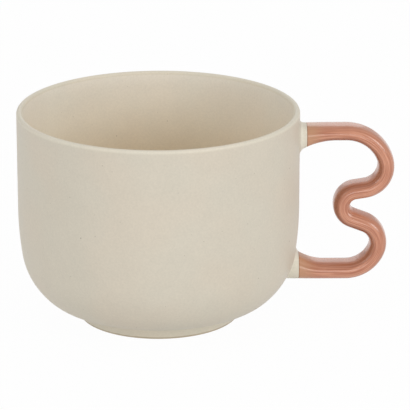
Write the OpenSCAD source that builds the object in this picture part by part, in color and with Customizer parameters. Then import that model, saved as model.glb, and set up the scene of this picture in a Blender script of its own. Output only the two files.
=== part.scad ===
// Wide stoneware cup with a wavy two-lobed handle.
// The cup stands on its foot ring at z = 0. Its axis is Z, and the handle points along +X.

/* [Cup body] */
// Outside diameter of the straight wall
cup_d = 110; // [100:0.5:130]
// Height from the table to the top of the rim
cup_h = 83.5; // [74:0.5:104]
// Wall thickness at the rim
rim_t = 2.3; // [1.6:0.1:3.2]
// Wall thickness where the straight wall ends
wall_t = 3.4; // [2.4:0.1:5]
// Thickness of the floor
floor_t = 4; // [3:0.1:6]
// Radius of the slow curve below the straight wall
shoulder_r = 125; // [90:1:160]
// Angle through which the slow curve turns
shoulder_turn = 8.5; // [5:0.5:12]
// Radius of the big lower corner
corner_r = 26.8; // [21:0.2:33]
// Angle below level at which the corner passes into the tuck
corner_turn = 48; // [38:1:60]
// Radius of the tighter tuck that runs under the cup
tuck_r = 15; // [11:0.5:19]

/* [Foot] */
// Height of the foot ring
foot_h = 6; // [4:0.2:8]
// Step in from the edge of the flat underside to the side of the foot
foot_inset = 1.8; // [1.5:0.1:4]
// Amount by which each side of the foot draws in towards the table
foot_taper = 1.7; // [0.5:0.1:2.5]
// Width of the ring at the table
foot_w = 5; // [3:0.1:8]
// Radius of the cove between the foot and the underside
foot_cove_r = 1.4; // [0.6:0.1:1.5]
// Radius of the two edges at the table
foot_edge_r = 0.7; // [0.3:0.1:1.2]

/* [Handle section] */
// Width of the handle, across its loop
handle_w = 11.6; // [8:0.1:14]
// Thickness of the handle at the upper root, in the plane of its loop
handle_t = 5.9; // [4.5:0.1:7.5]
// Thickness of the handle from the waist to the lower root
waist_t = 6.7; // [5:0.1:8]
// Flatness of the inner and outer sides of the loop: 2 is an ellipse, and more is flatter
flat_power = 3.7; // [2:0.1:8]
// Flatness of the crowned front and back
crown_power = 2; // [2:0.1:4]

/* [Handle loop] */
// Drop from the rim to the middle of the upper root
upper_root_drop = 9.4; // [8.5:0.1:14]
// Height of the middle of the lower root above the table
lower_root_h = 17.6; // [14:0.1:22]
// Straight run from the wall to the upper lobe
upper_run_l = 18; // [14:0.1:24]
// Radius of the top of the upper lobe
upper_top_r = 16.1; // [13:0.1:22]
// Angle through which the top of the upper lobe turns
upper_top_turn = 69; // [45:1:80]
// Radius of the outer side of the upper lobe
upper_side_r = 9.4; // [7:0.1:12]
// Angle below level of the slant from the upper lobe to the waist
upper_lean = 9; // [4:0.5:20]
// Length of the slant from the upper lobe to the waist
upper_slant_l = 4.2; // [2:0.1:8]
// Radius of the waist
waist_r = 5.9; // [5:0.1:8]
// Angle below level of the slant from the waist to the lower lobe
lower_lean = 21; // [8:0.5:30]
// Length of the slant from the waist to the lower lobe
lower_slant_l = 5.5; // [2:0.1:8]
// Radius of the outer side of the lower lobe
lower_side_r = 8.5; // [6:0.1:11]
// Angle through which the outer side of the lower lobe turns
lower_side_turn = 92; // [70:1:100]
// Radius of the bottom of the lower lobe
lower_base_r = 12.9; // [9:0.1:16]

/* [Roots and joints] */
// Distance from the wall to the upper glaze line
upper_stub_l = 2.6; // [2:0.1:5]
// Distance from the wall to the lower glaze line
lower_stub_l = 3.9; // [3:0.1:6]
// Growth of the inner side at the upper root
upper_flare = 4.1; // [2:0.1:6]
// Growth of the inner side at the lower root
lower_flare = 6; // [2:0.1:8]
// Length over which the inner side grows
flare_l = 14; // [8:0.5:17]
// Share of that growth by which the crown of the front and back moves inward
crown_share = 0.4; // [0:0.05:0.5]
// Radius of the fillet between the upper stub and the wall
upper_fillet_r = 1.2; // [0.6:0.1:1.8]
// Thickness of the slip between a stub and the wall
slip_t = 0.5; // [0.3:0.05:1]
// Amount by which the slip stands out round a stub
slip_margin = 0.6; // [0.2:0.1:1.5]

/* [Hidden] */

$fn = 180;
curve_step = 4;        // degrees a side on the turned outlines
loop_step = 9;         // degrees a ring round the handle's curves
run_rings = 6;         // rings along a straight run of the handle
stub_rings = 5;        // rings along a stub
section_sides = 24;    // sides round the handle
overrun = 4;           // how far a cutting solid runs past what it cuts
cove_lip_t = 0.1;      // thickness left at the thin edge of the cove

cream = [0.80, 0.76, 0.68];
terracotta_pink = [0.78, 0.52, 0.42];
bare_clay = [0.86, 0.82, 0.74];

// The outside of the cup is a straight wall and three curves, each tangent to the next.
cup_r = cup_d / 2;
curve_top_z = foot_h + tuck_r + (corner_r - tuck_r) * sin(corner_turn)
            + (shoulder_r - corner_r) * sin(shoulder_turn);
shoulder_c = [cup_r - shoulder_r, curve_top_z];
corner_c = shoulder_c + (shoulder_r - corner_r) * heading(-shoulder_turn);
tuck_c = corner_c + (corner_r - tuck_r) * heading(-corner_turn);
base_r = tuck_c.x;

// The inside is a leaning wall and two curves that run out on the floor.
rim_r = rim_t / 2;
floor_z = foot_h + floor_t;
inside_shoulder_r = shoulder_r - wall_t;
inside_corner_r = (curve_top_z - inside_shoulder_r * sin(shoulder_turn) - floor_z)
                / (1 - sin(shoulder_turn));
inside_corner_c = shoulder_c + (inside_shoulder_r - inside_corner_r) * heading(-shoulder_turn);

// The foot sits under the flat of the base.
foot_top_r = base_r - foot_inset;
foot_r = foot_top_r - foot_taper;
foot_inner_r = foot_r - foot_w;

// Both roots follow the wall. The lobes are drawn at their own radii, and then all of
// the loop's lengths are fitted by one factor, so that it meets both roots.
upper_z = cup_h - upper_root_drop;
lower_z = lower_root_h;
lower_wall_r = wall_r(lower_z);
side_heading = lower_lean + lower_side_turn;
drawn_drop = upper_top_r * (1 - cos(upper_top_turn))
           + upper_side_r * (cos(upper_top_turn) + cos(upper_lean))
           + upper_slant_l * sin(upper_lean)
           + waist_r * (cos(upper_lean) + cos(lower_lean))
           + lower_slant_l * sin(lower_lean)
           + lower_side_r * (cos(lower_lean) - cos(side_heading))
           + lower_base_r * (cos(side_heading) + 1);
loop_fit = (upper_z - lower_z) / drawn_drop;

// Each move of the loop is a straight length or a radius, and the angle turned:
// right is negative, left is positive, and 0 is straight on.
loop_moves = [
    [upper_top_r, -upper_top_turn],
    [upper_side_r, upper_top_turn + upper_lean - 180],
    [upper_slant_l, 0],
    [waist_r, 180 - upper_lean - lower_lean],
    [lower_slant_l, 0],
    [lower_side_r, -lower_side_turn],
    [lower_base_r, side_heading - 180],
];
loop_poses = walk([cup_r + upper_run_l, upper_z, 0], loop_moves);
lower_end_x = loop_poses[len(loop_poses) - 1][0];
lower_run_l = lower_end_x - lower_wall_r;
waist_z = waist_height();

function heading(angle) = [cos(angle), sin(angle)];

function arc_points(centre, radius, from, to, first = 0) =
    let (count = ceil(abs(to - from) / curve_step))
    [for (i = [first:count]) centre + radius * heading(from + (to - from) * i / count)];

// Radius of the outside wall at a height
function wall_r(z) =
    z >= curve_top_z ? cup_r :
    z >= shoulder_c.y - shoulder_r * sin(shoulder_turn) ? round_r(shoulder_c, shoulder_r, z) :
    z >= corner_c.y - corner_r * sin(corner_turn) ? round_r(corner_c, corner_r, z) :
    round_r(tuck_c, tuck_r, z);

function round_r(centre, radius, z) = centre.x + sqrt(pow(radius, 2) - pow(z - centre.y, 2));

// Outside outline from the underside up to the end of the straight wall, moved out by grow
function outside_points(grow, top_z) = concat(
    [[0, foot_h - grow]],
    arc_points(tuck_c, tuck_r + grow, -90, -corner_turn),
    arc_points(corner_c, corner_r + grow, -corner_turn, -shoulder_turn, 1),
    arc_points(shoulder_c, shoulder_r + grow, -shoulder_turn, 0, 1),
    [[cup_r + grow, top_z]]
);

function inside_points() = concat(
    [[cup_r - wall_t, curve_top_z]],
    arc_points(shoulder_c, inside_shoulder_r, 0, -shoulder_turn, 1),
    arc_points(inside_corner_c, inside_corner_r, -shoulder_turn, -90, 1),
    [[0, floor_z]]
);

// Poses along the loop are [x, z, heading in degrees].
function turned(pose, radius, turn) =
    let (side = sign(turn), centre = [pose.x, pose.y] + side * radius * heading(pose[2] + 90),
         end = centre - side * radius * heading(pose[2] + turn + 90))
    [end.x, end.y, pose[2] + turn];

function moved(pose, length) =
    let (end = [pose.x, pose.y] + length * heading(pose[2]))
    [end.x, end.y, pose[2]];

function move_poses(pose, move) =
    let (size = move[0] * loop_fit, turn = move[1], count = ceil(abs(turn) / loop_step))
    turn == 0 ? [moved(pose, size)] : [for (i = [1:count]) turned(pose, size, turn * i / count)];

function walk(pose, moves, i = 0) =
    i == len(moves) ? [pose] :
    let (poses = move_poses(pose, moves[i]), last = poses[len(poses) - 1])
    concat([pose], [for (k = [0:1:len(poses) - 2]) poses[k]], walk(last, moves, i + 1));

// The waist is the loop's leftmost place between the two lobes, where it heads straight down.
function waist_height() =
    let (after_top = turned([0, upper_z, 0], upper_top_r * loop_fit, -upper_top_turn),
         after_side = turned(after_top, upper_side_r * loop_fit, upper_top_turn + upper_lean - 180),
         after_slant = moved(after_side, upper_slant_l * loop_fit))
    turned(after_slant, waist_r * loop_fit, 90 - upper_lean).y;

// The handle thickens from the upper root to the waist, and stays so down to the lower root.
function thickness(z) =
    let (share = max(0, min(1, (z - waist_z) / (upper_z - waist_z))))
    handle_t + (waist_t - handle_t) * cos(90 * share);

function flare(size, run_l, distance) =
    let (length = min(flare_l, run_l))
    size * pow(max(0, 1 - max(0, distance) / length), 2);

function fillet(radius, distance) =
    let (gap = max(0, radius - max(0, distance)))
    radius - sqrt(pow(radius, 2) - pow(gap, 2));

// One ring of the handle at a pose. The inner side of the loop is on the right of its
// heading, and grows by inner, which shifts the crown too. All sides grow by around.
function ring(pose, inner, around) =
    let (half = thickness(pose.y) / 2 + around, left = heading(pose[2] + 90), shift = inner * crown_share)
    [for (i = [0:section_sides - 1])
        let (angle = 360 * i / section_sides, side = squared(cos(angle), crown_power),
             across = squared(sin(angle), flat_power),
             out = side * (half + (side < 0 ? inner - shift : shift)) - shift)
        [pose.x + out * left.x, across * (handle_w / 2 + around), pose.y + out * left.y]];

function squared(value, power) = sign(value) * pow(abs(value), 2 / power);

function upper_ring(distance, around) =
    ring([cup_r + distance, upper_z, 0], flare(upper_flare, upper_run_l, distance), around);

function lower_ring(distance, around) =
    ring([lower_wall_r + distance, lower_z, -180], flare(lower_flare, lower_run_l, distance), around);

// Distances from one end of a run to the other
function spread(from, to, count) = [for (i = [0:count]) from + (to - from) * i / count];

// Skin over a row of rings, closed at both ends
module swept(rings) {
    sides = len(rings[0]);
    last = len(rings) - 1;
    walls = [for (r = [0:last - 1], i = [0:sides - 1])
        let (a = r * sides + i, b = r * sides + (i + 1) % sides)
        each [[a, b, b + sides], [a, b + sides, a + sides]]];
    start = [[for (i = [0:sides - 1]) sides - 1 - i]];
    end = [[for (i = [0:sides - 1]) last * sides + i]];
    polyhedron([for (r = rings) each r], concat(walls, start, end));
}

// The whole outside of the cup as one solid, moved out by grow
module cup_outside(grow) {
    rotate_extrude() polygon(concat(outside_points(grow, cup_h), [[0, cup_h]]));
}

// A layer of slip on the wall, within the outline of two rings
module slip_layer(rings) {
    intersection() {
        difference() {
            cup_outside(slip_t);
            cup_outside(0);
        }
        swept(rings);
    }
}

// A stub of the handle, cut where it meets its slip
module stub(rings) {
    difference() {
        swept(rings);
        cup_outside(slip_t);
    }
}

// Bowl with a straight wall, a big rounded lower corner and a round rim
module cup_body() {
    rim_c = [cup_r - rim_r, cup_h - rim_r];
    color(cream) rotate_extrude() polygon(concat(
        outside_points(0, rim_c.y),
        arc_points(rim_c, rim_r, 0, 180, 1),
        inside_points()
    ));
}

// Turned foot with a cove under the bowl and a flat ring on the table
module foot_ring() {
    cove_c = [foot_top_r + foot_cove_r, foot_h - foot_cove_r];
    cove_end = 180 - asin(1 - cove_lip_t / foot_cove_r);
    lean = atan(foot_taper / foot_h);
    outer_edge_c = [foot_r - foot_edge_r, foot_edge_r];
    inner_edge_c = [foot_inner_r + foot_edge_r, foot_edge_r];
    cove = arc_points(cove_c, foot_cove_r, 180, cove_end);
    color(bare_clay) rotate_extrude() polygon(concat(
        arc_points(inner_edge_c, foot_edge_r, 180 + lean, 270),
        arc_points(outer_edge_c, foot_edge_r, -90, -lean),
        cove,
        [[cove[len(cove) - 1].x, foot_h], [foot_inner_r - foot_taper, foot_h]]
    ));
}

// Wavy loop between the two glaze lines
module handle_loop() {
    upper_run = [for (d = spread(upper_stub_l, upper_run_l, run_rings)) upper_ring(d, 0)];
    lower_run = [for (d = spread(lower_run_l, lower_stub_l, run_rings)) lower_ring(d, 0)];
    bends = [for (i = [1:len(loop_poses) - 2]) ring(loop_poses[i], 0, 0)];
    color(terracotta_pink) swept(concat(upper_run, bends, lower_run));
}

// Cream end of the handle at the top of the wall
module upper_handle_stub() {
    color(cream) stub(concat(
        [upper_ring(-overrun, upper_fillet_r)],
        [for (d = spread(slip_t, upper_stub_l, stub_rings)) upper_ring(d, fillet(upper_fillet_r, d - slip_t))]
    ));
}

// Cream end of the handle at the lower corner
module lower_handle_stub() {
    color(cream) stub(concat(
        [for (d = spread(lower_stub_l, 0, stub_rings)) lower_ring(d, 0)],
        [lower_ring(-flare_l, 0)]
    ));
}

// Luting slip between the upper stub and the wall
module upper_slip_joint() {
    around = upper_fillet_r + slip_margin;
    color(cream) slip_layer([upper_ring(-overrun, around), upper_ring(overrun, around)]);
}

// Luting slip between the lower stub and the lower corner
module lower_slip_joint() {
    color(cream) slip_layer([lower_ring(overrun, slip_margin), lower_ring(-flare_l, slip_margin)]);
}

cup_body();
foot_ring();
handle_loop();
upper_handle_stub();
lower_handle_stub();
upper_slip_joint();
lower_slip_joint();
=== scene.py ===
# Wide stoneware cup with a wavy two-lobed handle.
# Lengths are in millimetres and angles in degrees. The floor and the lamps are in metres.
import math

import bmesh
import bpy
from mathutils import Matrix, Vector


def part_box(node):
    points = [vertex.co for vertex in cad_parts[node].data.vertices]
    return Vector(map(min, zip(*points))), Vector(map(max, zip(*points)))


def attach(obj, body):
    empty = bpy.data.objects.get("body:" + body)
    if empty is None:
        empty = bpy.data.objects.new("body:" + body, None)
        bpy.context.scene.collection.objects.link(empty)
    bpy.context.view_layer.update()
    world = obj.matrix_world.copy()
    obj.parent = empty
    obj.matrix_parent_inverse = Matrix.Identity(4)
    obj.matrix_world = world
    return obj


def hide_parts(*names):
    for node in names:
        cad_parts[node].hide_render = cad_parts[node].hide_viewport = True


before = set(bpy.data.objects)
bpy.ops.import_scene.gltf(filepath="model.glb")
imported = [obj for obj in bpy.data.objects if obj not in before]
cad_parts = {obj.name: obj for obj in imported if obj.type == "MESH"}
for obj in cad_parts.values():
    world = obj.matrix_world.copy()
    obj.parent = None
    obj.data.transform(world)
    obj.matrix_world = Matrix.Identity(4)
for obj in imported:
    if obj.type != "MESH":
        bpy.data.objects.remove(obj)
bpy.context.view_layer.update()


# Cup body
# The bowl is jiggered from pale stoneware: a straight wall, a big rounded lower corner and a round rim.
# It is dipped in a satin cream glaze inside and out, and a few iron specks of the clay show through.
MM = 0.001
body_low, body_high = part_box("cup_body")
cup_r = body_high.y / MM
cup_h = body_high.z / MM
foot_h = body_low.z / MM
rim_t = 2.3
wall_t = 3.4
floor_t = 4
shoulder_r = 125
shoulder_turn = 8.5
corner_r = 26.8
corner_turn = 48
tuck_r = 15
curve_step = 1.5
wheel_sides = 240
wall_rows = 14
rim_rows = 24
flat_rows = 6


def heading(angle):
    """The direction at an angle, as a vector of length 1."""
    return Vector((math.cos(math.radians(angle)), math.sin(math.radians(angle))))


# The outside is a straight wall and three curves, each tangent to the next.
curve_top = (foot_h + tuck_r + (corner_r - tuck_r) * math.sin(math.radians(corner_turn))
             + (shoulder_r - corner_r) * math.sin(math.radians(shoulder_turn)))
shoulder_c = Vector((cup_r - shoulder_r, curve_top))
corner_c = shoulder_c + (shoulder_r - corner_r) * heading(-shoulder_turn)
tuck_c = corner_c + (corner_r - tuck_r) * heading(-corner_turn)


def arc(centre, radius, start, end):
    """Points of (radius, height) along an arc, both ends included."""
    count = max(2, math.ceil(abs(end - start) / curve_step))
    return [centre + radius * heading(start + (end - start) * i / count) for i in range(count + 1)]


def wall_points(start, end):
    """Points that divide a straight wall, without its ends."""
    return [start.lerp(end, i / wall_rows) for i in range(1, wall_rows)]


def flat_points(reach, height):
    """Points that divide a round flat between the axis and its edge."""
    return [Vector((reach * i / flat_rows, height)) for i in range(1, flat_rows)]


def cup_outline():
    """Outline of the bowl from the middle of its underside, over the rim, to the middle of its floor."""
    rim_r = rim_t / 2
    rim_c = Vector((cup_r - rim_r, cup_h - rim_r))
    rim = [rim_c + rim_r * heading(180 * i / rim_rows) for i in range(rim_rows + 1)]
    floor_z = foot_h + floor_t
    inner_shoulder_r = shoulder_r - wall_t
    slope = math.sin(math.radians(shoulder_turn))
    inner_corner_r = (curve_top - inner_shoulder_r * slope - floor_z) / (1 - slope)
    inner_corner_c = shoulder_c + (inner_shoulder_r - inner_corner_r) * heading(-shoulder_turn)
    return [
        Vector((0, foot_h)),
        *flat_points(tuck_c.x, foot_h),
        *arc(tuck_c, tuck_r, -90, -corner_turn)[:-1],
        *arc(corner_c, corner_r, -corner_turn, -shoulder_turn)[:-1],
        *arc(shoulder_c, shoulder_r, -shoulder_turn, 0),
        *wall_points(Vector((cup_r, curve_top)), rim[0]),
        *rim,
        *wall_points(rim[-1], Vector((cup_r - wall_t, curve_top))),
        *arc(shoulder_c, inner_shoulder_r, 0, -shoulder_turn)[:-1],
        *arc(inner_corner_c, inner_corner_r, -shoulder_turn, -90),
        *reversed(flat_points(inner_corner_c.x, floor_z)),
        Vector((0, floor_z)),
    ]


def turn_on_wheel(outline, ring=False):
    """Vertices and faces of an outline turned round the Z axis. A ring's outline closes on itself."""
    vertices, rows = [], []
    for radius, height in outline:
        first = len(vertices)
        if radius > 0:
            vertices += [(*(radius * heading(360 * i / wheel_sides)), height) for i in range(wheel_sides)]
            rows.append([first + i for i in range(wheel_sides)])
        else:
            vertices.append((0, 0, height))
            rows.append([first] * wheel_sides)
    pairs = list(zip(rows, rows[1:])) + ([(rows[-1], rows[0])] if ring else [])
    faces = []
    for low, high in pairs:
        for i in range(wheel_sides):
            j = (i + 1) % wheel_sides
            # A face that meets the axis has a corner twice, and keeps it once.
            faces.append(list(dict.fromkeys([low[i], low[j], high[j], high[i]])))
    return vertices, faces


def add_object(name, data):
    """A new object in the scene."""
    thing = bpy.data.objects.new(name, data)
    bpy.context.scene.collection.objects.link(thing)
    return thing


def make_piece(name, vertices, faces, material, slot, node):
    """A smooth mesh in the place of its CAD node."""
    mesh = bpy.data.meshes.new(name)
    mesh.from_pydata([Vector(v) * MM for v in vertices], [], faces)
    mesh.shade_smooth()
    mesh.materials.append(material)
    piece = add_object(name, mesh)
    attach(piece, "root")
    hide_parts(node)
    return piece


def srgb(red, green, blue):
    """A colour as it is seen on a screen, from 0 to 255, as the linear colour that a shader takes."""
    def linear(value):
        share = value / 255
        return share / 12.92 if share <= 0.04045 else ((share + 0.055) / 1.055) ** 2.4
    return (linear(red), linear(green), linear(blue), 1)


def add_node(tree, kind, settings=None, **inputs):
    """A node with its settings, and its inputs as values or as the sockets that feed them.

    An input goes by its name, with _ for a space, or by its place in the list, as in _0.
    """
    node = tree.nodes.new(kind)
    for name, value in (settings or {}).items():
        setattr(node, name, value)
    for name, value in inputs.items():
        place = name[1:]
        socket = node.inputs[int(place) if place.isdigit() else name.replace("_", " ")]
        if isinstance(value, bpy.types.NodeSocket):
            tree.links.new(value, socket)
        else:
            socket.default_value = value
    return node


def maths(tree, operation, first, second=0.0):
    """One operation on two values."""
    return add_node(tree, "ShaderNodeMath", {"operation": operation}, _0=first, _1=second).outputs[0]


def scaled(tree, value, factor, start):
    """A value times a factor, added to a start."""
    node = add_node(tree, "ShaderNodeMath", {"operation": "MULTIPLY_ADD"}, _0=value, _1=factor, _2=start)
    return node.outputs[0]


def ramp(tree, value, low, high, to_low=0.0, to_high=1.0):
    """A smooth step of a value from one range to another."""
    return add_node(tree, "ShaderNodeMapRange", {"interpolation_type": "SMOOTHSTEP"},
                    _0=value, _1=low, _2=high, _3=to_low, _4=to_high).outputs[0]


def blend(tree, share, first, second, kind="MIX"):
    """Two colours mixed by a share."""
    return add_node(tree, "ShaderNodeMix", {"data_type": "RGBA", "blend_type": kind},
                    _0=share, _6=first, _7=second).outputs[2]


def cloud(tree, place, size, detail):
    """Soft noise with patches of about a size, and finer ones in them as the detail grows."""
    noise = add_node(tree, "ShaderNodeTexNoise", None, Vector=place, Scale=1 / size, Detail=detail)
    return noise.outputs["Fac"]


def cup_place(tree):
    """Where a point of a surface is on the cup, in millimetres."""
    metres = add_node(tree, "ShaderNodeTexCoord").outputs["Object"]
    place = add_node(tree, "ShaderNodeVectorMath", {"operation": "SCALE"}, _0=metres, Scale=1 / MM)
    return place.outputs[0]


def height_of(tree, place):
    """How high a place on the cup is."""
    return add_node(tree, "ShaderNodeSeparateXYZ", None, Vector=place).outputs["Z"]


def new_group(name, inputs, outputs):
    """An empty node group, with the sockets that it is given and makes."""
    group = bpy.data.node_groups.new(name, "ShaderNodeTree")
    for side, sockets in (("INPUT", inputs), ("OUTPUT", outputs)):
        for socket, kind in sockets.items():
            group.interface.new_socket(socket, in_out=side, socket_type=kind)
    return group, group.nodes.new("NodeGroupInput").outputs, group.nodes.new("NodeGroupOutput").inputs


# Specks come in two kinds, each with the spacing of its cells and its widest speck.
speck_kinds = ((4.2, 0.34), (2.4, 0.2))
bare_cells_share = 0.7
least_reach = 1e-5

# Each noise is the size of its patches and its detail. Each fade is a range and the values at its two
# ends, which are 0 and 1 where it gives none.
speck_fade = (0.55, 1.15, 1.0, 0.0)
mottle_noise = (9, 3)
mottle_shade = 0.06
mottle_roughness = 0.14
grain_noise = (0.8, 2)
grain_shade = 0.14
grain_height = 0.3
drift_noise = (24, 1)
drift_fade = (0.3, 0.7)
warm_tint = (1.0, 0.992, 0.98, 1)
cool_tint = (0.984, 1.0, 0.998, 1)
ripple_noise = (2.2, 2)
darkest_shade = 0.9
satin_roughness = 0.4


def fired_speck_group():
    """Iron specks of the clay that bleed through the glaze, and its soft mottling and fine grain."""
    colour, value = "NodeSocketColor", "NodeSocketFloat"
    group, given, made = new_group(
        "fired specks",
        {"Glaze Colour": colour, "Speck Colour": colour, "Speck Strength": value},
        {"Colour": colour, "Roughness": value, "Height": value},
    )
    place = cup_place(group)
    specks = 0.0
    for cell, widest in speck_kinds:
        spots = add_node(group, "ShaderNodeTexVoronoi", None, Vector=place, Scale=1 / cell).outputs
        chance = add_node(group, "ShaderNodeSeparateColor", None, Color=spots["Color"]).outputs["Red"]
        reach = ramp(group, chance, bare_cells_share, 1.0, least_reach, widest / cell)
        edge = maths(group, "DIVIDE", spots["Distance"], reach)
        specks = maths(group, "MAXIMUM", ramp(group, edge, *speck_fade), specks)
    mottle = cloud(group, place, *mottle_noise)
    grain = cloud(group, place, *grain_noise)
    drift = cloud(group, place, *drift_noise)
    ripple = cloud(group, place, *ripple_noise)
    shade = scaled(group, mottle, mottle_shade, scaled(group, grain, grain_shade, darkest_shade))
    tint = blend(group, ramp(group, drift, *drift_fade), warm_tint, cool_tint)
    tone = blend(group, 1.0, given["Glaze Colour"], shade, "MULTIPLY")
    tone = blend(group, 1.0, tone, tint, "MULTIPLY")
    speck_share = maths(group, "MULTIPLY", specks, given["Speck Strength"])
    group.links.new(blend(group, speck_share, tone, given["Speck Colour"]), made["Colour"])
    group.links.new(scaled(group, mottle, mottle_roughness, satin_roughness), made["Roughness"])
    group.links.new(scaled(group, grain, grain_height, ripple), made["Height"])
    return group


fired_specks = fired_speck_group()
cream = srgb(220, 211, 195)
speck_brown = srgb(138, 122, 100)
speck_strength = 0.5
cream_ior = 1.3
cream_bump = 0.25
cream_relief = 0.02


def new_glaze(name, gloss_ior):
    """A material whose shader has its gloss and nothing else yet."""
    material = bpy.data.materials.new(name)
    material.use_nodes = True
    shader = material.node_tree.nodes["Principled BSDF"]
    shader.inputs["IOR"].default_value = gloss_ior
    return material, material.node_tree, shader


def speckle(tree, colour, strength):
    """The fired specks in a glaze of a colour."""
    return add_node(tree, "ShaderNodeGroup", {"node_tree": fired_specks}, Glaze_Colour=colour,
                    Speck_Colour=speck_brown, Speck_Strength=strength).outputs


def lay_glaze(tree, shader, colour, roughness, height, bump, relief):
    """Feeds a glaze's colour, roughness and fine relief to its shader."""
    normal = add_node(tree, "ShaderNodeBump", None, Strength=bump, Distance=relief * MM, Height=height)
    tree.links.new(colour, shader.inputs["Base Color"])
    tree.links.new(roughness, shader.inputs["Roughness"])
    tree.links.new(normal.outputs["Normal"], shader.inputs["Normal"])


def lay_cream(tree, shader, colour, strength):
    """Feeds a cream glaze with its specks to its shader."""
    surface = speckle(tree, colour, strength)
    lay_glaze(tree, shader, surface["Colour"], surface["Roughness"], surface["Height"],
              cream_bump, cream_relief)


# Painted light: the inside is painted lighter than the outside, palest just under the rim, and over this
# drop it fades to a warmer deeper tone.
painted_light_drop = 36
inside_fade = (0.0, 0.04)
painted_light_inside_top = srgb(242, 237, 226)
painted_light_inside_deep = srgb(236, 221, 197)
# Painted highlight: the rim's crest is paler, partly thin glaze and partly painted highlight. The foot's
# side takes the same pale cream as painted light.
painted_light_cream = srgb(231, 223, 206)
pale_rim_drop = 1.7
rim_fade = (cup_h - pale_rim_drop, cup_h - rim_t / 4)


def mark_inside(piece, outline):
    """Stores on each point how far down the inside it is, from 0 outside to 1 where the painted light
    inside reaches its deeper tone.
    """
    crest = max(range(len(outline)), key=lambda i: outline[i].y)
    depths = []
    for i, (radius, height) in enumerate(outline):
        depth = min(1, (cup_h - height) / painted_light_drop) if i > crest else 0
        depths += [depth] * (wheel_sides if radius > 0 else 1)
    marks = piece.data.attributes.new("inside_depth", "FLOAT", "POINT")
    marks.data.foreach_set("value", depths)


def bowl_glaze():
    """The bowl's cream glaze, with painted light: a paler rim crest, partly thin glaze and partly painted
    highlight, and an inside painted lighter, palest just under the rim and warmer deeper down.
    """
    material, tree, shader = new_glaze("cream glaze of the bowl", cream_ior)
    depth = add_node(tree, "ShaderNodeAttribute", {"attribute_name": "inside_depth"}).outputs["Fac"]
    # Painted light inside the bowl, and a painted highlight on the rim's crest.
    inside = blend(tree, depth, painted_light_inside_top, painted_light_inside_deep)
    colour = blend(tree, ramp(tree, depth, *inside_fade), cream, inside)
    colour = blend(tree, ramp(tree, height_of(tree, cup_place(tree)), *rim_fade), colour, painted_light_cream)
    lay_cream(tree, shader, colour, speck_strength)
    return material


bowl = make_piece("bowl", *turn_on_wheel(cup_outline()), bowl_glaze(), "cream_glaze", "cup_body")
mark_inside(bowl, cup_outline())


# Foot ring
# The foot is turned on the leather-hard bowl, with a small cove under the bowl and two rounded edges.
# Its side is glazed with the bowl, and the flat that stands in the kiln is wiped back to bare clay.
foot_inset = 1.8
foot_taper = 1.7
foot_w = 5
foot_cove_r = 1.4
foot_edge_r = 0.7
foot_top_r = tuck_c.x - foot_inset
foot_r = foot_top_r - foot_taper
foot_lean = math.degrees(math.atan(foot_taper / foot_h))
foot_ior = 1.5
glaze_end_z = 0.55
glaze_end_fade = (glaze_end_z - 0.08, glaze_end_z + 0.02)
toasted_h = 0.5
toasted_fade = (glaze_end_z, glaze_end_z + toasted_h)
wobble_noise = (4, 2)
wobble_h = 0.35
noise_middle = 0.5
grit_noise = (0.5, 3)
clay_dark = srgb(196, 180, 155)
clay_pale = srgb(222, 208, 184)
toasted_cream = srgb(190, 174, 147)
clay_roughness = 0.85
clay_bump = 0.4
clay_relief = 0.05


def foot_outline():
    """Outline of the ring, from its inner edge on the table, out and up to the bowl and back."""
    inner_r = foot_r - foot_w
    cove_c = Vector((foot_top_r + foot_cove_r, foot_h - foot_cove_r))
    return [
        *arc(Vector((inner_r + foot_edge_r, foot_edge_r)), foot_edge_r, 180 + foot_lean, 270),
        *arc(Vector((foot_r - foot_edge_r, foot_edge_r)), foot_edge_r, -90, -foot_lean),
        *arc(cove_c, foot_cove_r, 180, 90),
        Vector((inner_r - foot_taper, foot_h)),
    ]


def foot_glaze():
    """Cream glaze down the side, painted paler as painted light, then a toasted line and the bare clay of
    the standing ring.
    """
    material, tree, shader = new_glaze("cream glaze on bare clay", foot_ior)
    # Painted light: the side takes the pale cream, which lightens the foot against the shade under the
    # bowl.
    surface = speckle(tree, painted_light_cream, speck_strength)
    place = cup_place(tree)
    wobble = maths(tree, "SUBTRACT", cloud(tree, place, *wobble_noise), noise_middle)
    height = scaled(tree, wobble, wobble_h, height_of(tree, place))
    grit = cloud(tree, place, *grit_noise)
    clay = blend(tree, grit, clay_dark, clay_pale)
    side = blend(tree, ramp(tree, height, *toasted_fade), toasted_cream, surface["Colour"])
    glazed = ramp(tree, height, *glaze_end_fade)
    smoother = maths(tree, "SUBTRACT", surface["Roughness"], clay_roughness)
    roughness = scaled(tree, smoother, glazed, clay_roughness)
    lay_glaze(tree, shader, blend(tree, glazed, clay, side), roughness, grit, clay_bump, clay_relief)
    return material


make_piece("foot", *turn_on_wheel(foot_outline(), ring=True), foot_glaze(), "foot_clay", "foot_ring")


# Handle loop
# One long coil of clay, pressed to a strap with a crowned front and back, and bent into two lobes.
# Between two masked lines it carries a gloss terracotta-pink glaze, in fine streaks that run along it.
handle_w = 11.6
handle_t = 5.9
waist_t = 6.7
crown_power = 2
flat_power = 3.7
section_sides = 72
loop_step = 2
run_step = 0.4
upper_z = cup_h - 9.4
lower_z = 17.6
upper_run_l = 18
upper_top_r = 16.1
upper_top_turn = 69
upper_side_r = 9.4
upper_lean = 9
upper_slant_l = 4.2
waist_r = 5.9
lower_lean = 21
lower_slant_l = 5.5
lower_side_r = 8.5
lower_side_turn = 92
lower_base_r = 12.9
upper_flare = 4.1
lower_flare = 6
flare_l = 14
crown_share = 0.4
upper_stub_l = 2.6
lower_stub_l = 3.9
glaze_lip_r = 0.22
lip_rows = 5

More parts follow.
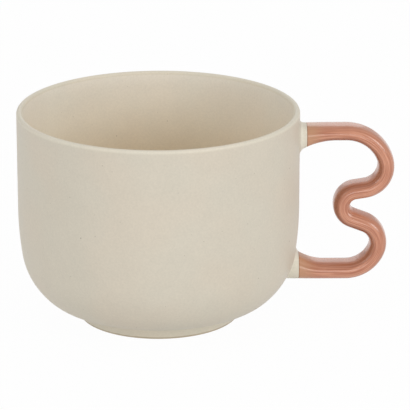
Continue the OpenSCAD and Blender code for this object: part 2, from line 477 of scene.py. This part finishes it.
# Each move is a radius and the angle turned to the left, or a straight length and no turn.
loop_moves = (
    (upper_top_r, -upper_top_turn),
    (upper_side_r, upper_top_turn + upper_lean - 180),
    (upper_slant_l, 0),
    (waist_r, 180 - upper_lean - lower_lean),
    (lower_slant_l, 0),
    (lower_side_r, -lower_side_turn),
    (lower_base_r, lower_lean + lower_side_turn - 180),
)


def walk(start, moves, fit):
    """Places and headings along the moves, with every length and radius times fit."""
    place, angle = start, 0
    poses = []
    for size, turn in moves:
        size *= fit
        if turn:
            side = math.copysign(1, turn)
            centre = place + side * size * heading(angle + 90)
            count = math.ceil(abs(turn) / loop_step)
            ends = [angle + turn * i / count for i in range(1, count + 1)]
            poses += [(centre - side * size * heading(end + 90), end) for end in ends]
        else:
            count = math.ceil(size / run_step)
            poses += [(place + size * i / count * heading(angle), angle) for i in range(1, count + 1)]
        place, angle = poses[-1]
    return poses


def wall_radius(height):
    """Radius of the outside wall at a height."""
    if height >= curve_top:
        return cup_r
    upper_curves = ((shoulder_c, shoulder_r, shoulder_turn), (corner_c, corner_r, corner_turn))
    for centre, radius, turn in upper_curves:
        if height >= centre.y - radius * math.sin(math.radians(turn)):
            return centre.x + math.sqrt(radius ** 2 - (height - centre.y) ** 2)
    return tuck_c.x + math.sqrt(tuck_r ** 2 - (height - tuck_c.y) ** 2)


# The loop is drawn at its own sizes, then fitted by one factor so that it ends at the lower root's height.
lobe_start = Vector((cup_r + upper_run_l, upper_z))
drawn_end = walk(lobe_start, loop_moves, 1)[-1][0]
loop_poses = walk(lobe_start, loop_moves, (upper_z - lower_z) / (upper_z - drawn_end.y))
lower_wall_r = wall_radius(lower_z)
lower_run_l = loop_poses[-1][0].x - lower_wall_r

# The waist is nearest to the cup of the places where the loop heads down, within 60 degrees.
downward = [place for place, angle in loop_poses if abs(angle + 90) < 60]
waist_z = min(downward, key=lambda place: place.x).y


def thickness(height):
    """The coil thickens from the upper root to the waist, and stays so down to the lower root."""
    share = max(0, min(1, (height - waist_z) / (upper_z - waist_z)))
    return handle_t + (waist_t - handle_t) * math.cos(math.pi / 2 * share)


def flare(size, run_l, distance):
    """Growth of the inner side, from its full size at the wall to nothing where the flare ends."""
    return size * max(0, 1 - max(0, distance) / min(flare_l, run_l)) ** 2


def fillet(radius, distance):
    """Growth of a round fillet at a distance from what it runs out on."""
    gap = min(radius, max(0, radius - distance))
    return radius - math.sqrt(radius ** 2 - gap ** 2)


def coil_section(i):
    """One point of the section, from -1 to 1, crowned on its front and back and flatter on its sides."""
    turn = 2 * math.pi * i / section_sides
    out, across = math.cos(turn), math.sin(turn)
    return tuple(math.copysign(abs(value) ** (2 / power), value)
                 for value, power in ((out, crown_power), (across, flat_power)))


def handle_ring(place, angle, inner, around):
    """One ring of the coil, which grows by around on all sides.

    Its inner side, on the right of the heading, grows by inner too, and takes the crown part of the way.
    """
    half = thickness(place.y) / 2 + around
    shift = inner * crown_share
    left = heading(angle + 90)
    ring = []
    for i in range(section_sides):
        out, across = coil_section(i)
        reach = half + (inner - shift if out < 0 else shift)
        point = place + (out * reach - shift) * left
        ring.append((point.x, across * (handle_w / 2 + around), point.y))
    return ring


def upper_ring(distance, around):
    """A ring of the upper run, at a distance from the wall."""
    inner = flare(upper_flare, upper_run_l, distance)
    return handle_ring(Vector((cup_r + distance, upper_z)), 0, inner, around)


def lower_ring(distance, around):
    """A ring of the lower run, at a distance from the wall."""
    inner = flare(lower_flare, lower_run_l, distance)
    return handle_ring(Vector((lower_wall_r + distance, lower_z)), -180, inner, around)


def spread(start, end, step):
    """Even distances from start to end, both included, none further apart than step."""
    count = max(1, math.ceil(abs(end - start) / step))
    return [start + (end - start) * i / count for i in range(count + 1)]


def loop_rings():
    """The rings from the upper glaze line to the lower one, with a rounded lip of glaze at each."""
    lip = [glaze_lip_r * (1 - math.cos(math.pi / 2 * i / lip_rows)) for i in range(lip_rows)]
    upper_run = lip + spread(glaze_lip_r, upper_run_l - upper_stub_l, run_step)
    lower_run = lip + spread(glaze_lip_r, lower_run_l - lower_stub_l, run_step)
    upper = [upper_ring(upper_stub_l + d, -fillet(glaze_lip_r, d)) for d in upper_run]
    lower = [lower_ring(lower_stub_l + d, -fillet(glaze_lip_r, d)) for d in reversed(lower_run)]
    bends = [handle_ring(place, angle, 0, 0) for place, angle in loop_poses[:-1]]
    return upper + bends + lower


def middle_of(ring):
    """The middle of a ring's points."""
    return sum((Vector(point) for point in ring), Vector()) / len(ring)


def skin(rings):
    """Vertices and faces over a row of rings, with a fan on each end."""
    sides = len(rings[0])
    vertices = [point for ring in rings for point in ring]
    faces = []
    for row in range(len(rings) - 1):
        for i in range(sides):
            a, b = row * sides + i, row * sides + (i + 1) % sides
            faces.append((a, b, b + sides, a + sides))
    for ring, first in ((rings[0], 0), (rings[-1], (len(rings) - 1) * sides)):
        middle = len(vertices)
        vertices.append(middle_of(ring))
        for i in range(sides):
            a, b = first + i, first + (i + 1) % sides
            faces.append((b, a, middle) if first == 0 else (a, b, middle))
    return vertices, faces


def crease_ends(piece):
    """Keeps the two end faces of a skinned piece flat, with a sharp edge round each."""
    build = bmesh.new()
    build.from_mesh(piece.data)
    for face in build.faces:
        if len(face.verts) == 3:
            face.smooth = False
            for edge in face.edges:
                edge.smooth = False
    build.to_mesh(piece.data)
    build.free()


def distances_along(rings):
    """How far along the coil each ring is."""
    middles = [middle_of(ring) for ring in rings]
    along = [0.0]
    for before, after in zip(middles, middles[1:]):
        along.append(along[-1] + (after - before).length)
    return along


def mark_coil(piece, along):
    """Stores on each point how far along the coil it is, and where in the section, out and across."""
    places = []
    for distance in along:
        places += [(distance, *coil_section(i)) for i in range(section_sides)]
    places += [(along[0], 0, 0), (along[-1], 0, 0)]
    marks = piece.data.attributes.new("coil_place", "FLOAT_VECTOR", "POINT")
    marks.data.foreach_set("vector", [value for place in places for value in place])


pink_ior = 1.6
pink_coat = 0.2
pink_coat_roughness = 0.16
pink_roughness = 0.18
streak_roughness = 0.14
pink_bump = 0.1
pink_relief = 0.05
streak_noise = (0.55, 3)
relief_noise = (0.55, 1)
streak_stretch = (0.045, 4.2, 5.6)
streak_start = (0, 11.2, 0)
streak_dark = srgb(184, 114, 84)
streak_pale = srgb(227, 162, 131)
middle_tone = 0.5
pool_noise = (11, 2)
pool_pink = srgb(186, 117, 87)
# Painted shade: the brown on the corners, most on the inner side of the loop, is partly thin glaze and
# partly painted shade.
thin_glaze_and_shade_brown = srgb(148, 87, 60)
end_tan = srgb(206, 156, 119)
end_brown = srgb(140, 96, 68)

# A range here is of the noise, of the section from -1 to 1, or in millimetres from the coil's ends.
streak_fade = (0.32, 0.68, -middle_tone, middle_tone)
contrast_fade = (0.7, 0.92, 0.4, 1.0)
pool_fade = (0.35, 0.7, 0.0, 0.3)
corner_fade = (0.3, 0.56)
width_fade = (0.5, 0.78)
inner_fade = (-0.3, 0.3, 0.62, 0.16)
root_fade = (1.0, 9.0, 0.3, 1.0)
lower_run_fade = (8.0, 32.0, 0.5, 1.0)
tan_fade = (1.0, 8.0, 0.75, 0.0)
end_line_fade = (0.1, 0.5, 0.45, 0.0)


def pink_glaze(coil_l):
    """Gloss glaze in streaks: deeper where it pools, browner on the corners, partly thin glaze and partly
    painted shade, and tan near its ends.
    """
    material, tree, shader = new_glaze("terracotta pink gloss glaze", pink_ior)
    coil = add_node(tree, "ShaderNodeAttribute", {"attribute_name": "coil_place"}).outputs["Vector"]
    parts = add_node(tree, "ShaderNodeSeparateXYZ", None, Vector=coil).outputs
    along, out, width = parts["X"], parts["Y"], maths(tree, "ABSOLUTE", parts["Z"])
    lower_end = maths(tree, "SUBTRACT", coil_l, along)
    end = maths(tree, "MINIMUM", along, lower_end)

    # Streaks are strong on the crowned front and back, and faint on the flat sides.
    streak_place = add_node(tree, "ShaderNodeVectorMath", {"operation": "MULTIPLY_ADD"},
                            _0=coil, _1=streak_stretch, _2=streak_start).outputs[0]
    streaks = cloud(tree, streak_place, *streak_noise)
    contrast = ramp(tree, width, *contrast_fade)
    streak_tone = scaled(tree, ramp(tree, streaks, *streak_fade), contrast, middle_tone)
    tone = blend(tree, streak_tone, streak_dark, streak_pale)
    pools = cloud(tree, coil, *pool_noise)
    tone = blend(tree, ramp(tree, pools, *pool_fade), tone, pool_pink)

    # The glaze thins and is painted with shade on the corners, most on the inner side, and less near the
    # roots and in the lower run.
    corner = maths(tree, "MULTIPLY", maths(tree, "ABSOLUTE", out), width)
    thin_and_shade = ramp(tree, corner, *corner_fade)
    limits = ((width, width_fade), (out, inner_fade), (end, root_fade), (lower_end, lower_run_fade))
    for value, fade in limits:
        thin_and_shade = maths(tree, "MULTIPLY", thin_and_shade, ramp(tree, value, *fade))
    tone = blend(tree, thin_and_shade, tone, thin_glaze_and_shade_brown)
    tone = blend(tree, ramp(tree, end, *tan_fade), tone, end_tan)
    tone = blend(tree, ramp(tree, end, *end_line_fade), tone, end_brown)

    roughness = scaled(tree, streaks, streak_roughness, pink_roughness)
    relief = cloud(tree, streak_place, *relief_noise)
    lay_glaze(tree, shader, tone, roughness, relief, pink_bump, pink_relief)
    shader.inputs["Coat Weight"].default_value = pink_coat
    shader.inputs["Coat Roughness"].default_value = pink_coat_roughness
    return material


rings = loop_rings()
along = distances_along(rings)
coil = make_piece("handle_coil", *skin(rings), pink_glaze(along[-1]), "pink_glaze", "handle_loop")
crease_ends(coil)
mark_coil(coil, along)


# Handle stubs
# The two ends of the coil stay in a cream glaze, lighter than the bowl's, up to the masked line where the
# pink begins.
# Each is scored and pressed on the wall, so that its end follows the wall's curve.
upper_fillet_r = 1.7
lower_fillet_r = 0.8
slip_t = 0.5
stub_step = 0.12
stub_cream = srgb(237, 230, 214)
stub_speck_strength = 0.3


def wall_x(across, height):
    """How far out along X the wall is, at a place across the cup and a height."""
    return math.sqrt(wall_radius(height) ** 2 - across ** 2)


def root_rings(ring_at, wall_r, stub_l, fillet_r, start, end):
    """Rings of a root between two distances from the wall. Near the wall they widen and follow it."""
    rings = []
    stub_x = wall_r + stub_l
    for distance in spread(start, end, stub_step):
        ring = ring_at(distance, fillet(fillet_r, distance))
        share = distance / stub_l
        rings.append([(wall_x(y, z) * (1 - share) + stub_x * share, y, z) for _, y, z in ring])
    return rings


def make_root(name, side, rings, material, slot, node):
    """A piece of a root. The lower root's rings are reversed, so that its faces point out."""
    if side == "lower":
        rings = rings[::-1]
    crease_ends(make_piece(name, *skin(rings), material, slot, node))


def cream_glaze(name, colour, strength):
    """One cream glaze all over."""
    material, tree, shader = new_glaze(name, cream_ior)
    lay_cream(tree, shader, colour, strength)
    return material


# Each root has its kind of ring, the wall's radius there, the stub's length and the fillet's radius.
roots = {
    "upper": (upper_ring, cup_r, upper_stub_l, upper_fillet_r),
    "lower": (lower_ring, lower_wall_r, lower_stub_l, lower_fillet_r),
}
stub_glaze = cream_glaze("cream glaze on the handle ends", stub_cream, stub_speck_strength)
for side, root in roots.items():
    stub_l = root[2]
    stub_rings = root_rings(*root, slip_t, stub_l)
    make_root(f"{side}_stub", side, stub_rings, stub_glaze, "stub_glaze", f"{side}_handle_stub")


# Slip joints
# A collar of wet clay slip sticks each stub to the wall. Its outer edge is sponged down to nothing,
# so that after firing it shows only as the soft corner between the stub and the wall.
slip_seat = 0.06
slip_glaze = cream_glaze("cream satin glaze", cream, speck_strength)

for side, root in roots.items():
    slip_rings = root_rings(*root, 0, slip_t)
    seat = [(x - slip_seat, y, z) for x, y, z in slip_rings[0]]
    make_root(f"{side}_slip", side, [seat, *slip_rings], slip_glaze, "cream_glaze", f"{side}_slip_joint")


# Studio
# White paper in an even white room, a low strip light in front, a soft box on each side and a weak one
# behind. The camera stands a little over a metre away and looks down on the cup.
floor_half = 4.0
paper_seen = (0.95, 0.95, 0.95, 1)
paper_bounce = (0.84, 0.84, 0.84, 1)
paper_glow = 0.97
white = (1, 1, 1, 1)
floor_mesh = bpy.data.meshes.new("floor")
floor_corners = [(x * floor_half, y * floor_half, 0) for x, y in ((-1, -1), (1, -1), (1, 1), (-1, 1))]
floor_mesh.from_pydata(floor_corners, [], [(0, 1, 2, 3)])
floor = add_object("floor", floor_mesh)


def seen_directly(tree):
    """1 on the rays that see a thing or its mirror image, and 0 on those that only gather light."""
    path = add_node(tree, "ShaderNodeLightPath").outputs
    mirrored = maths(tree, "MAXIMUM", path["Is Glossy Ray"], path["Is Transmission Ray"])
    return maths(tree, "MAXIMUM", path["Is Camera Ray"], mirrored)


def white_paper():
    """White paper that keeps the cup's shadow, and glows so that it fades into the background."""
    material = bpy.data.materials.new("white paper")
    material.use_nodes = True
    tree = material.node_tree
    tree.nodes.clear()
    seen = seen_directly(tree)
    colour = blend(tree, seen, paper_bounce, paper_seen)
    paper = add_node(tree, "ShaderNodeBsdfDiffuse", None, Color=colour).outputs[0]
    glow = add_node(tree, "ShaderNodeEmission", None, Color=white, Strength=1.0).outputs[0]
    share = maths(tree, "MULTIPLY", seen, paper_glow)
    mixed = add_node(tree, "ShaderNodeMixShader", None, _0=share, _1=paper, _2=glow).outputs[0]
    add_node(tree, "ShaderNodeOutputMaterial", None, Surface=mixed)
    material.cycles.emission_sampling = "NONE"
    return material


floor_mesh.materials.append(white_paper())

# The camera sees the room as white, and the cup is lit by less.
room_strength = 0.61
world = bpy.data.worlds.new("white room")
bpy.context.scene.world = world
world.use_nodes = True
sky = world.node_tree
sky.nodes.clear()
camera_ray = add_node(sky, "ShaderNodeLightPath").outputs["Is Camera Ray"]
strength = scaled(sky, camera_ray, 1 - room_strength, room_strength)
background = add_node(sky, "ShaderNodeBackground", None, Color=white, Strength=strength).outputs[0]
add_node(sky, "ShaderNodeOutputWorld", None, Surface=background)


def direction(azimuth, elevation):
    """The direction from the cup to a place round it. Azimuth 0 is in front, and right is positive."""
    level = math.cos(math.radians(elevation))
    aside = heading(azimuth - 90)
    return Vector((aside.x * level, aside.y * level, math.sin(math.radians(elevation))))


def look_along(thing, line_of_sight):
    """Turns a lamp or a camera to face along a line."""
    thing.rotation_euler = line_of_sight.to_track_quat("-Z", "Y").to_euler()


light_distance = 3.0
cup_middle = Vector((0, 0, cup_h / 2 * MM))

# Each lamp has its azimuth, elevation, width, height and brightness.
lamps = {
    "key softbox": (50, 22, 1.2, 1.2, 4.5),
    "fill softbox": (-50, 22, 1.2, 1.2, 2.6),
    "front strip": (2, 2.6, 1.4, 0.26, 7.0),
    "backdrop light": (180, 18, 1.6, 1.6, 0.75),
}
for name, (azimuth, elevation, width, height, brightness) in lamps.items():
    lamp = bpy.data.lights.new(name, "AREA")
    lamp.shape = "RECTANGLE"
    lamp.size = width
    lamp.size_y = height
    lamp.energy = brightness * math.pi * width * height
    light = add_object(name, lamp)
    light.location = light_distance * direction(azimuth, elevation)
    look_along(light, cup_middle - light.location)
    light.visible_camera = False

camera_distance = 1190.1
camera_elevation = 18.445
camera_turn = -1.07
camera_target = Vector((18.12, -0.34, 44.24))
lens = bpy.data.cameras.new("camera")
lens.lens = 266.8
lens.sensor_width = 36
lens.clip_start = 0.01
camera = add_object("camera", lens)
back = direction(camera_turn, camera_elevation)
camera.location = (camera_target + camera_distance * back) * MM
look_along(camera, -back)
bpy.context.scene.camera = camera
bpy.context.scene.view_settings.view_transform = "Standard"
